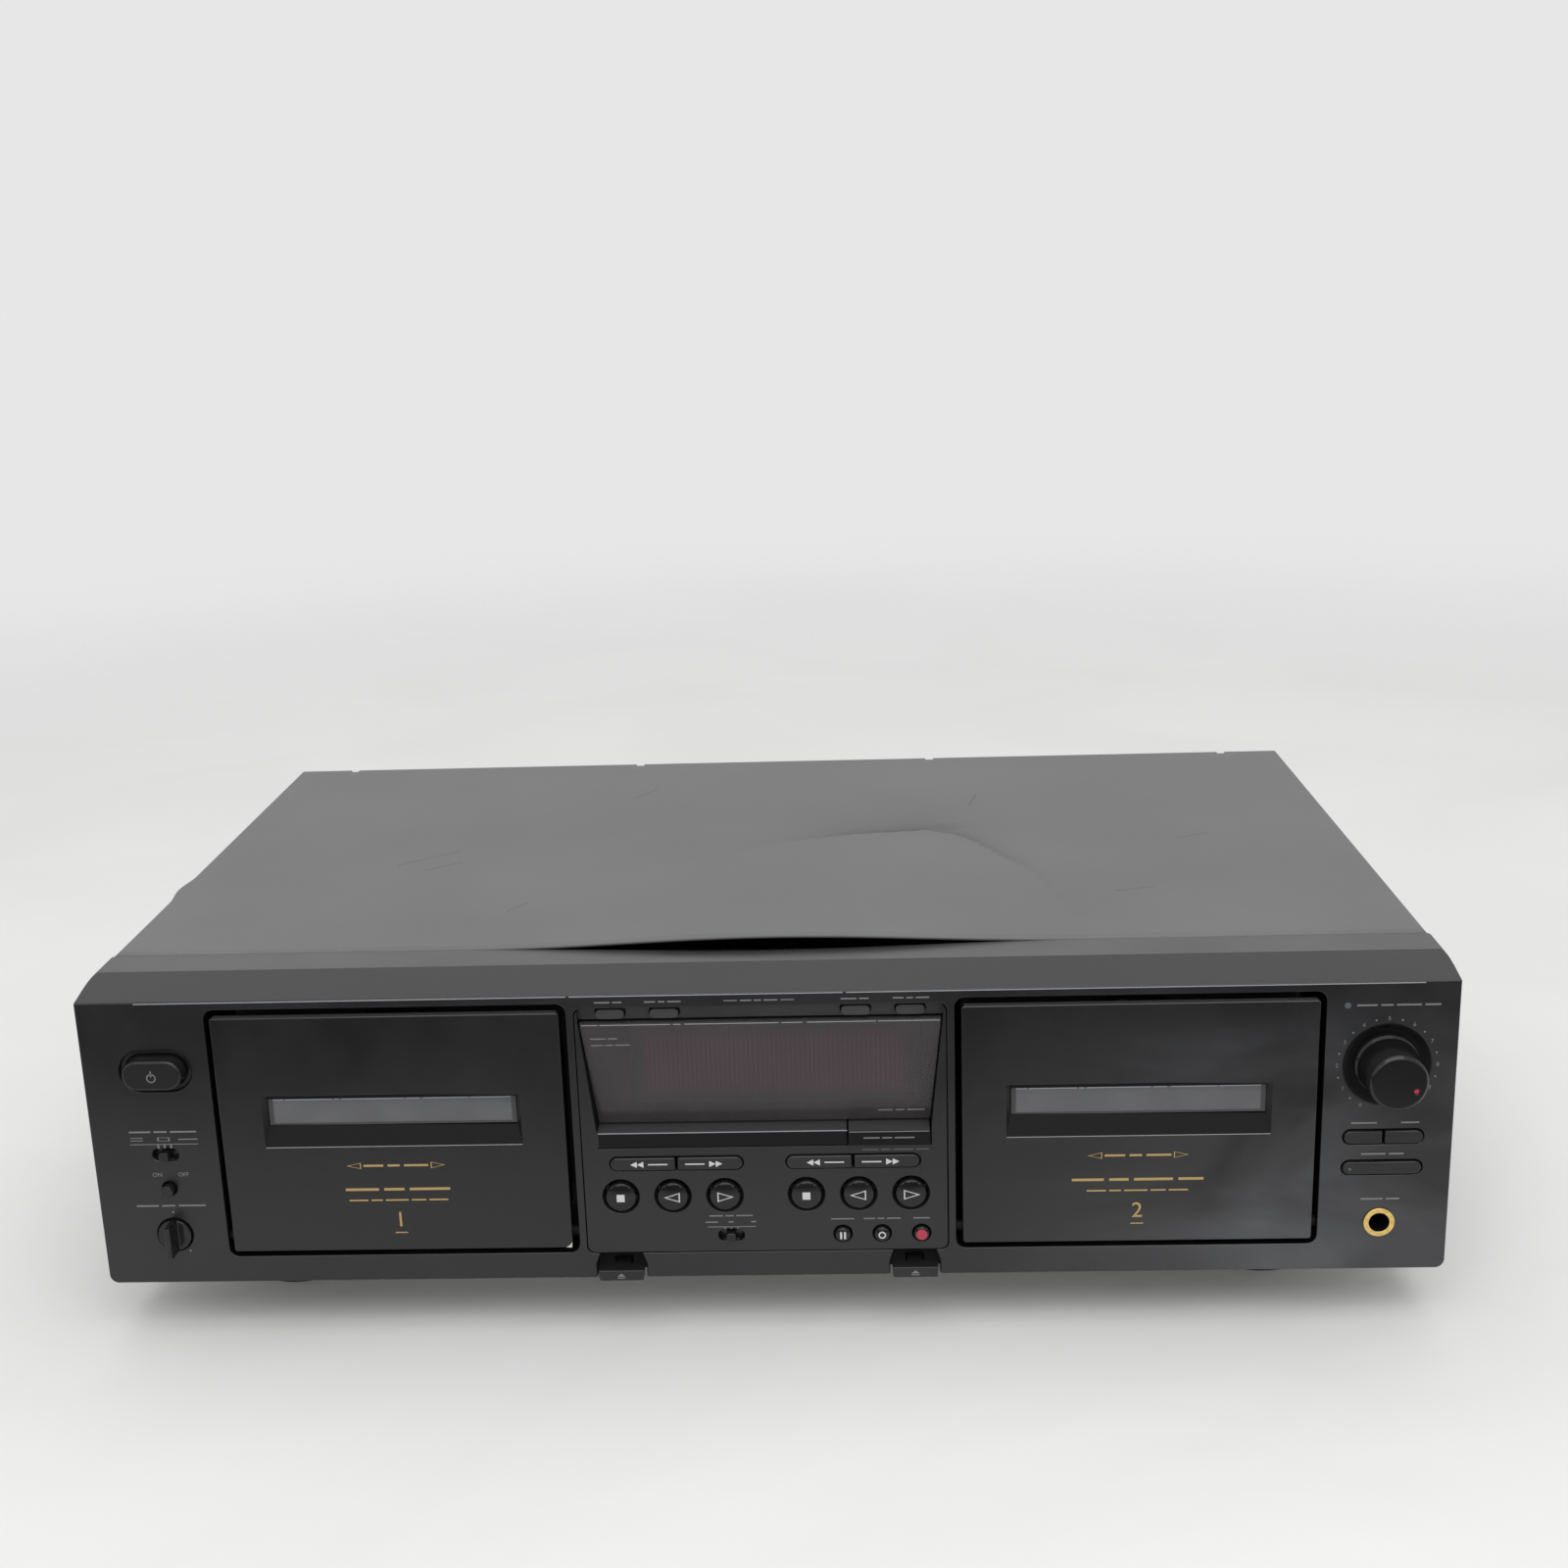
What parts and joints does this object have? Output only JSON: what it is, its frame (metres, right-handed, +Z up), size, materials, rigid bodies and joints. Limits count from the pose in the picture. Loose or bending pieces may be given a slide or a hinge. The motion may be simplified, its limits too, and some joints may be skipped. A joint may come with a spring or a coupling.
{
  "type": "double cassette deck",
  "caption": "Double cassette deck: flat steel case, moulded front with bottom-hinged tape doors, display window, transport keys and level dial.",
  "frame": {"origin": "centre of the footprint, on the surface that the feet stand on", "axes": "+X to the right seen from the front, +Y to the rear, +Z up"},
  "size_m": [0.431, 0.289, 0.12],
  "materials": {
    "front_plastic": "satin moulded black",
    "door_plastic": "satin moulded black",
    "inner_plastic": "matt black",
    "key_plastic": "satin",
    "gloss_key": "gloss",
    "red_key": "gloss",
    "white_plastic": "satin",
    "smoked_window": "smoked, gloss",
    "clear_window": "silvered grey, gloss",
    "cover_paint": "fine textured paint",
    "zinc_steel": "plated",
    "polished_steel": "turned",
    "black_steel": "blackened",
    "core_steel": "varnished",
    "foot_rubber": "matt",
    "board_green": "lacquered",
    "jack_metal": "nickel",
    "gilt": "polished gilt"
  },
  "bodies": {
    "case": {"front_bezel": "front_plastic", "control_panel": "front_plastic", "display_window": "smoked_window", "chassis_pan": "zinc_steel", "rear_panel": "cover_paint", "top_cover": "cover_paint", "case_screws": "black_steel", "feet": "foot_rubber", "transport_frames": "zinc_steel", "drive_motors": "zinc_steel", "drive_belts": "foot_rubber", "circuit_boards": "board_green", "power_transformer": "core_steel", "line_jacks": "jack_metal", "headphone_jack": "gilt"},
    "door_a": {"cassette_door_a": "door_plastic", "door_window_a": "clear_window", "cassette_holder_a": "inner_plastic"},
    "left_reel_a": {"left_reel_a": "white_plastic"},
    "left_capstan_a": {"left_capstan_a": "polished_steel"},
    "right_reel_a": {"right_reel_a": "white_plastic"},
    "right_capstan_a": {"right_capstan_a": "polished_steel"},
    "head_carriage_a": {"head_carriage_a": "polished_steel"},
    "counter_reset_a": {"counter_reset_a": "key_plastic"},
    "counter_memory_a": {"counter_memory_a": "key_plastic"},
    "rewind_a": {"rewind_a": "key_plastic"},
    "forward_a": {"forward_a": "key_plastic"},
    "stop_a": {"stop_a": "gloss_key"},
    "reverse_a": {"reverse_a": "gloss_key"},
    "play_a": {"play_a": "gloss_key"},
    "eject_a": {"eject_a": "key_plastic"},
    "door_b": {"cassette_door_b": "door_plastic", "door_window_b": "clear_window", "cassette_holder_b": "inner_plastic"},
    "left_reel_b": {"left_reel_b": "white_plastic"},
    "left_capstan_b": {"left_capstan_b": "polished_steel"},
    "right_reel_b": {"right_reel_b": "white_plastic"},
    "right_capstan_b": {"right_capstan_b": "polished_steel"},
    "head_carriage_b": {"head_carriage_b": "polished_steel"},
    "counter_reset_b": {"counter_reset_b": "key_plastic"},
    "counter_memory_b": {"counter_memory_b": "key_plastic"},
    "rewind_b": {"rewind_b": "key_plastic"},
    "forward_b": {"forward_b": "key_plastic"},
    "stop_b": {"stop_b": "gloss_key"},
    "reverse_b": {"reverse_b": "gloss_key"},
    "play_b": {"play_b": "gloss_key"},
    "eject_b": {"eject_b": "key_plastic"},
    "pause_button": {"pause_button": "gloss_key"},
    "record_mute_button": {"record_mute_button": "gloss_key"},
    "record_button": {"record_button": "red_key"},
    "dubbing_button": {"dubbing_button": "key_plastic"},
    "fader_button": {"fader_button": "key_plastic"},
    "auto_level_button": {"auto_level_button": "key_plastic"},
    "synchro_button": {"synchro_button": "key_plastic"},
    "power_button": {"power_button": "key_plastic"},
    "pitch_switch": {"pitch_switch": "key_plastic"},
    "direction_switch": {"direction_switch": "key_plastic"},
    "noise_switch": {"noise_switch": "key_plastic"},
    "pitch_knob": {"pitch_knob": "gloss_key"},
    "level_knob": {"level_knob": "gloss_key"}
  },
  "joints": [
    {"name": "door_a_hinge", "type": "hinge", "parent": "case", "child": "door_a", "pos_m": [-0.1174, -0.126, 0.034], "axis": [1, 0, 0], "range_deg": [0, 25]},
    {"name": "left_reel_a_spin", "type": "hinge", "parent": "case", "child": "left_reel_a", "pos_m": [-0.13865, -0.118, 0.0758], "axis": [0, 1, 0], "continuous": true},
    {"name": "left_capstan_a_spin", "type": "hinge", "parent": "case", "child": "left_capstan_a", "pos_m": [-0.1386, -0.118, 0.0468], "axis": [0, 1, 0], "continuous": true},
    {"name": "right_reel_a_spin", "type": "hinge", "parent": "case", "child": "right_reel_a", "pos_m": [-0.09615, -0.118, 0.0758], "axis": [0, 1, 0], "continuous": true},
    {"name": "right_capstan_a_spin", "type": "hinge", "parent": "case", "child": "right_capstan_a", "pos_m": [-0.0962, -0.118, 0.0468], "axis": [0, 1, 0], "continuous": true},
    {"name": "head_carriage_a_lift", "type": "slide", "parent": "case", "child": "head_carriage_a", "axis": [0, 0, 1], "range_m": [0, 0.005]},
    {"name": "counter_reset_a_press", "type": "slide", "parent": "case", "child": "counter_reset_a", "axis": [0, 1, 0], "range_m": [0, 0.001], "stiffness_N_per_m": 300},
    {"name": "counter_memory_a_press", "type": "slide", "parent": "case", "child": "counter_memory_a", "axis": [0, 1, 0], "range_m": [0, 0.001], "stiffness_N_per_m": 300},
    {"name": "rewind_a_press", "type": "slide", "parent": "case", "child": "rewind_a", "axis": [0, 1, 0], "range_m": [0, 0.001], "stiffness_N_per_m": 300},
    {"name": "forward_a_press", "type": "slide", "parent": "case", "child": "forward_a", "axis": [0, 1, 0], "range_m": [0, 0.001], "stiffness_N_per_m": 300},
    {"name": "stop_a_press", "type": "slide", "parent": "case", "child": "stop_a", "axis": [0, 1, 0], "range_m": [0, 0.001], "stiffness_N_per_m": 300},
    {"name": "reverse_a_press", "type": "slide", "parent": "case", "child": "reverse_a", "axis": [0, 1, 0], "range_m": [0, 0.001], "stiffness_N_per_m": 300},
    {"name": "play_a_press", "type": "slide", "parent": "case", "child": "play_a", "axis": [0, 1, 0], "range_m": [0, 0.001], "stiffness_N_per_m": 300},
    {"name": "eject_a_press", "type": "slide", "parent": "case", "child": "eject_a", "axis": [0, 1, 0], "range_m": [0, 0.004], "stiffness_N_per_m": 400},
    {"name": "door_b_hinge", "type": "hinge", "parent": "case", "child": "door_b", "pos_m": [0.1174, -0.126, 0.034], "axis": [1, 0, 0], "range_deg": [0, 25]},
    {"name": "left_reel_b_spin", "type": "hinge", "parent": "case", "child": "left_reel_b", "pos_m": [0.09615, -0.118, 0.0758], "axis": [0, 1, 0], "continuous": true},
    {"name": "left_capstan_b_spin", "type": "hinge", "parent": "case", "child": "left_capstan_b", "pos_m": [0.0962, -0.118, 0.0468], "axis": [0, 1, 0], "continuous": true},
    {"name": "right_reel_b_spin", "type": "hinge", "parent": "case", "child": "right_reel_b", "pos_m": [0.13865, -0.118, 0.0758], "axis": [0, 1, 0], "continuous": true},
    {"name": "right_capstan_b_spin", "type": "hinge", "parent": "case", "child": "right_capstan_b", "pos_m": [0.1386, -0.118, 0.0468], "axis": [0, 1, 0], "continuous": true},
    {"name": "head_carriage_b_lift", "type": "slide", "parent": "case", "child": "head_carriage_b", "axis": [0, 0, 1], "range_m": [0, 0.005]},
    {"name": "counter_reset_b_press", "type": "slide", "parent": "case", "child": "counter_reset_b", "axis": [0, 1, 0], "range_m": [0, 0.001], "stiffness_N_per_m": 300},
    {"name": "counter_memory_b_press", "type": "slide", "parent": "case", "child": "counter_memory_b", "axis": [0, 1, 0], "range_m": [0, 0.001], "stiffness_N_per_m": 300},
    {"name": "rewind_b_press", "type": "slide", "parent": "case", "child": "rewind_b", "axis": [0, 1, 0], "range_m": [0, 0.001], "stiffness_N_per_m": 300},
    {"name": "forward_b_press", "type": "slide", "parent": "case", "child": "forward_b", "axis": [0, 1, 0], "range_m": [0, 0.001], "stiffness_N_per_m": 300},
    {"name": "stop_b_press", "type": "slide", "parent": "case", "child": "stop_b", "axis": [0, 1, 0], "range_m": [0, 0.001], "stiffness_N_per_m": 300},
    {"name": "reverse_b_press", "type": "slide", "parent": "case", "child": "reverse_b", "axis": [0, 1, 0], "range_m": [0, 0.001], "stiffness_N_per_m": 300},
    {"name": "play_b_press", "type": "slide", "parent": "case", "child": "play_b", "axis": [0, 1, 0], "range_m": [0, 0.001], "stiffness_N_per_m": 300},
    {"name": "eject_b_press", "type": "slide", "parent": "case", "child": "eject_b", "axis": [0, 1, 0], "range_m": [0, 0.004], "stiffness_N_per_m": 400},
    {"name": "pause_button_press", "type": "slide", "parent": "case", "child": "pause_button", "axis": [0, 1, 0], "range_m": [0, 0.001], "stiffness_N_per_m": 300},
    {"name": "record_mute_button_press", "type": "slide", "parent": "case", "child": "record_mute_button", "axis": [0, 1, 0], "range_m": [0, 0.001], "stiffness_N_per_m": 300},
    {"name": "record_button_press", "type": "slide", "parent": "case", "child": "record_button", "axis": [0, 1, 0], "range_m": [0, 0.001], "stiffness_N_per_m": 300},
    {"name": "dubbing_button_press", "type": "slide", "parent": "case", "child": "dubbing_button", "axis": [0, 1, 0], "range_m": [0, 0.001], "stiffness_N_per_m": 300},
    {"name": "fader_button_press", "type": "slide", "parent": "case", "child": "fader_button", "axis": [0, 1, 0], "range_m": [0, 0.001], "stiffness_N_per_m": 300},
    {"name": "auto_level_button_press", "type": "slide", "parent": "case", "child": "auto_level_button", "axis": [0, 1, 0], "range_m": [0, 0.001], "stiffness_N_per_m": 300},
    {"name": "synchro_button_press", "type": "slide", "parent": "case", "child": "synchro_button", "axis": [0, 1, 0], "range_m": [0, 0.001], "stiffness_N_per_m": 300},
    {"name": "power_button_press", "type": "slide", "parent": "case", "child": "power_button", "axis": [0, 1, 0], "range_m": [0, 0.003], "stiffness_N_per_m": 400},
    {"name": "pitch_switch_press", "type": "slide", "parent": "case", "child": "pitch_switch", "axis": [0, 1, 0], "range_m": [0, 0.0025], "stiffness_N_per_m": 300},
    {"name": "direction_switch_slide", "type": "slide", "parent": "case", "child": "direction_switch", "axis": [1, 0, 0], "range_m": [-0.002, 0.002]},
    {"name": "noise_switch_slide", "type": "slide", "parent": "case", "child": "noise_switch", "axis": [1, 0, 0], "range_m": [-0.002, 0.002]},
    {"name": "pitch_knob_turn", "type": "hinge", "parent": "case", "child": "pitch_knob", "pos_m": [-0.1916, -0.128, 0.036], "axis": [0, 1, 0], "range_deg": [-144, 144]},
    {"name": "level_knob_turn", "type": "hinge", "parent": "case", "child": "level_knob", "pos_m": [0.1936, -0.128, 0.0887], "axis": [0, 1, 0], "range_deg": [-266, 34]}
  ],
  "couplings": [
    {"joint": "right_capstan_a_spin", "follows": "left_capstan_a_spin", "ratio": -1},
    {"joint": "right_capstan_b_spin", "follows": "left_capstan_b_spin", "ratio": -1}
  ]
}
